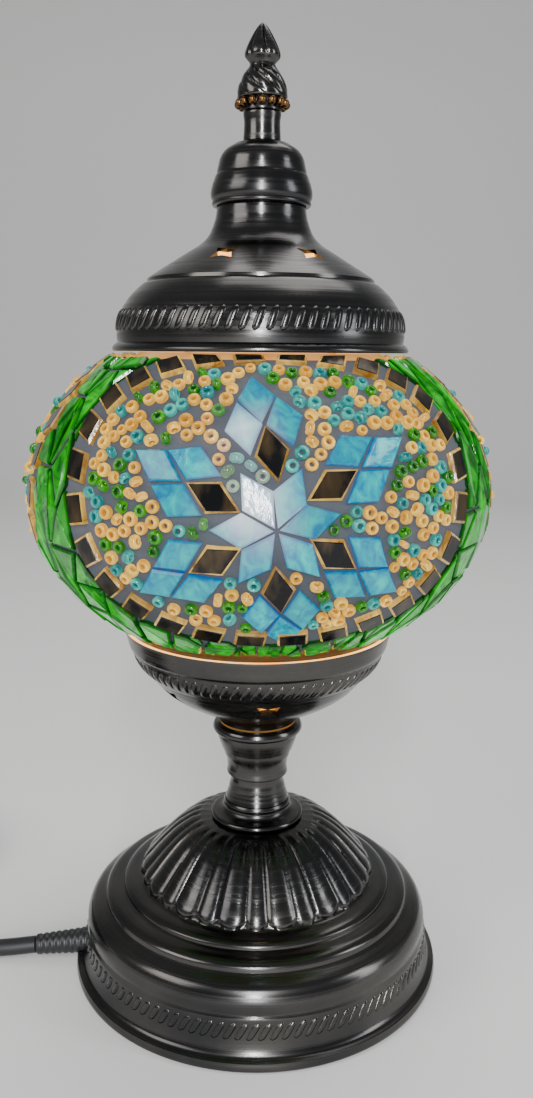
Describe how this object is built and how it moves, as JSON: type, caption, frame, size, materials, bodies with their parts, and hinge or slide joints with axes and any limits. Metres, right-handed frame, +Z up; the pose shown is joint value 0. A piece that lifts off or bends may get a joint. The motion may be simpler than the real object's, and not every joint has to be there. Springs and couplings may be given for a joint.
{
  "type": "mosaic glass table lamp",
  "caption": "Table lamp with an oblate bead and glass mosaic globe between a dark spun-metal fluted base and a domed pierced cap with a turned finial.",
  "frame": {"origin": "centre of the lamp's underside, on the surface that it stands on", "axes": "+Z up along the lamp's axis, +X to the viewer's right when the star medallion faces the viewer, -Y towards the viewer"},
  "size_m": [0.3266, 0.2034, 0.34],
  "materials": {
    "dark_metal": "dark antique nickel over spun sheet, fine lathe brushing, polished",
    "zinc_steel": "zinc plated steel, satin",
    "cast_iron": "rough grey casting",
    "felt": "black wool felt",
    "fibre_board": "plain fibre board",
    "black_rubber": "black soft PVC, semi-matt",
    "socket_plastic": "off-white thermoset",
    "brass": "plain brass",
    "black_plastic": "black moulded plastic, fine texture",
    "mosaic": "hand-set glass pieces and beads in grey grout, lit from inside",
    "clear_glass": "clear blown glass",
    "bulb_glass": "frosted white, lit",
    "tungsten": "glowing filament",
    "brown_pvc": "brown insulation",
    "blue_pvc": "blue insulation"
  },
  "bodies": {
    "lamp_base": {"base_felt": "felt", "bottom_cover": "fibre_board", "base_shell": "dark_metal", "base_weight": "cast_iron", "bottom_washer": "zinc_steel", "bottom_nut": "zinc_steel", "centre_tube": "zinc_steel", "stem_collar": "dark_metal", "stem_bell": "dark_metal", "stem_sleeve": "dark_metal", "stem_knob": "dark_metal", "lower_cup": "dark_metal", "cup_washer": "zinc_steel", "cup_nut": "zinc_steel", "cup_gasket": "black_rubber", "harp_strap": "zinc_steel", "harp_stud": "zinc_steel", "harp_nut": "zinc_steel", "socket_base": "socket_plastic", "socket_body": "socket_plastic", "socket_shell": "brass", "socket_contact": "brass", "lead_live": "brown_pvc", "lead_neutral": "blue_pvc", "cable_in_base": "black_rubber", "cord_grip": "black_rubber", "cord_run": "black_rubber", "cord_lead": "black_rubber", "cord_coil": "black_rubber", "cord_tail": "black_rubber", "switch_base": "black_plastic", "switch_cover": "black_plastic", "switch_screw_1": "zinc_steel", "switch_screw_2": "zinc_steel", "switch_contact": "brass", "plug_body": "black_plastic", "plug_pin_1": "brass", "plug_pin_2": "brass"},
    "globe": {"mosaic_skin": "mosaic", "globe_glass": "clear_glass"},
    "cap": {"top_cap": "dark_metal", "cap_gasket": "black_rubber", "crown_bell": "dark_metal", "neck_tube": "dark_metal"},
    "finial_carrier": {"finial_insert": "brass"},
    "finial": {"finial": "dark_metal", "finial_bead_ring": "dark_metal"},
    "bulb_carrier": {"bulb_contact": "zinc_steel"},
    "bulb": {"bulb_cap": "brass", "bulb_glass": "bulb_glass", "bulb_stem": "clear_glass", "bulb_filament": "tungsten"},
    "rocker": {"switch_rocker": "black_plastic"}
  },
  "joints": [
    {"name": "globe_lift", "type": "slide", "parent": "lamp_base", "child": "globe", "axis": [0, 0, 1], "range_m": [0, 0.19]},
    {"name": "cap_lift", "type": "slide", "parent": "globe", "child": "cap", "axis": [0, 0, 1], "range_m": [0, 0.09]},
    {"name": "finial_rise", "type": "slide", "parent": "cap", "child": "finial_carrier", "axis": [0, 0, 1], "range_m": [0, 0.0075]},
    {"name": "finial_turn", "type": "hinge", "parent": "finial_carrier", "child": "finial", "pos_m": [0, 0, 0.32], "axis": [0, 0, 1], "range_deg": [0, 2736]},
    {"name": "bulb_rise", "type": "slide", "parent": "lamp_base", "child": "bulb_carrier", "axis": [0, 0, 1], "range_m": [0, 0.0096]},
    {"name": "bulb_turn", "type": "hinge", "parent": "bulb_carrier", "child": "bulb", "pos_m": [0, 0, 0.15], "axis": [0, 0, 1], "range_deg": [0, 1200]},
    {"name": "rocker_tilt", "type": "hinge", "parent": "lamp_base", "child": "rocker", "pos_m": [-0.181, 0.0092, 0.0156], "axis": [0, 1, 0], "range_deg": [-16, 0]}
  ],
  "couplings": [
    {"joint": "finial_turn", "follows": "finial_rise", "rad_per_m": 6283.2},
    {"joint": "bulb_rise", "follows": "bulb_turn", "m_per_rad": 0.00044882}
  ]
}
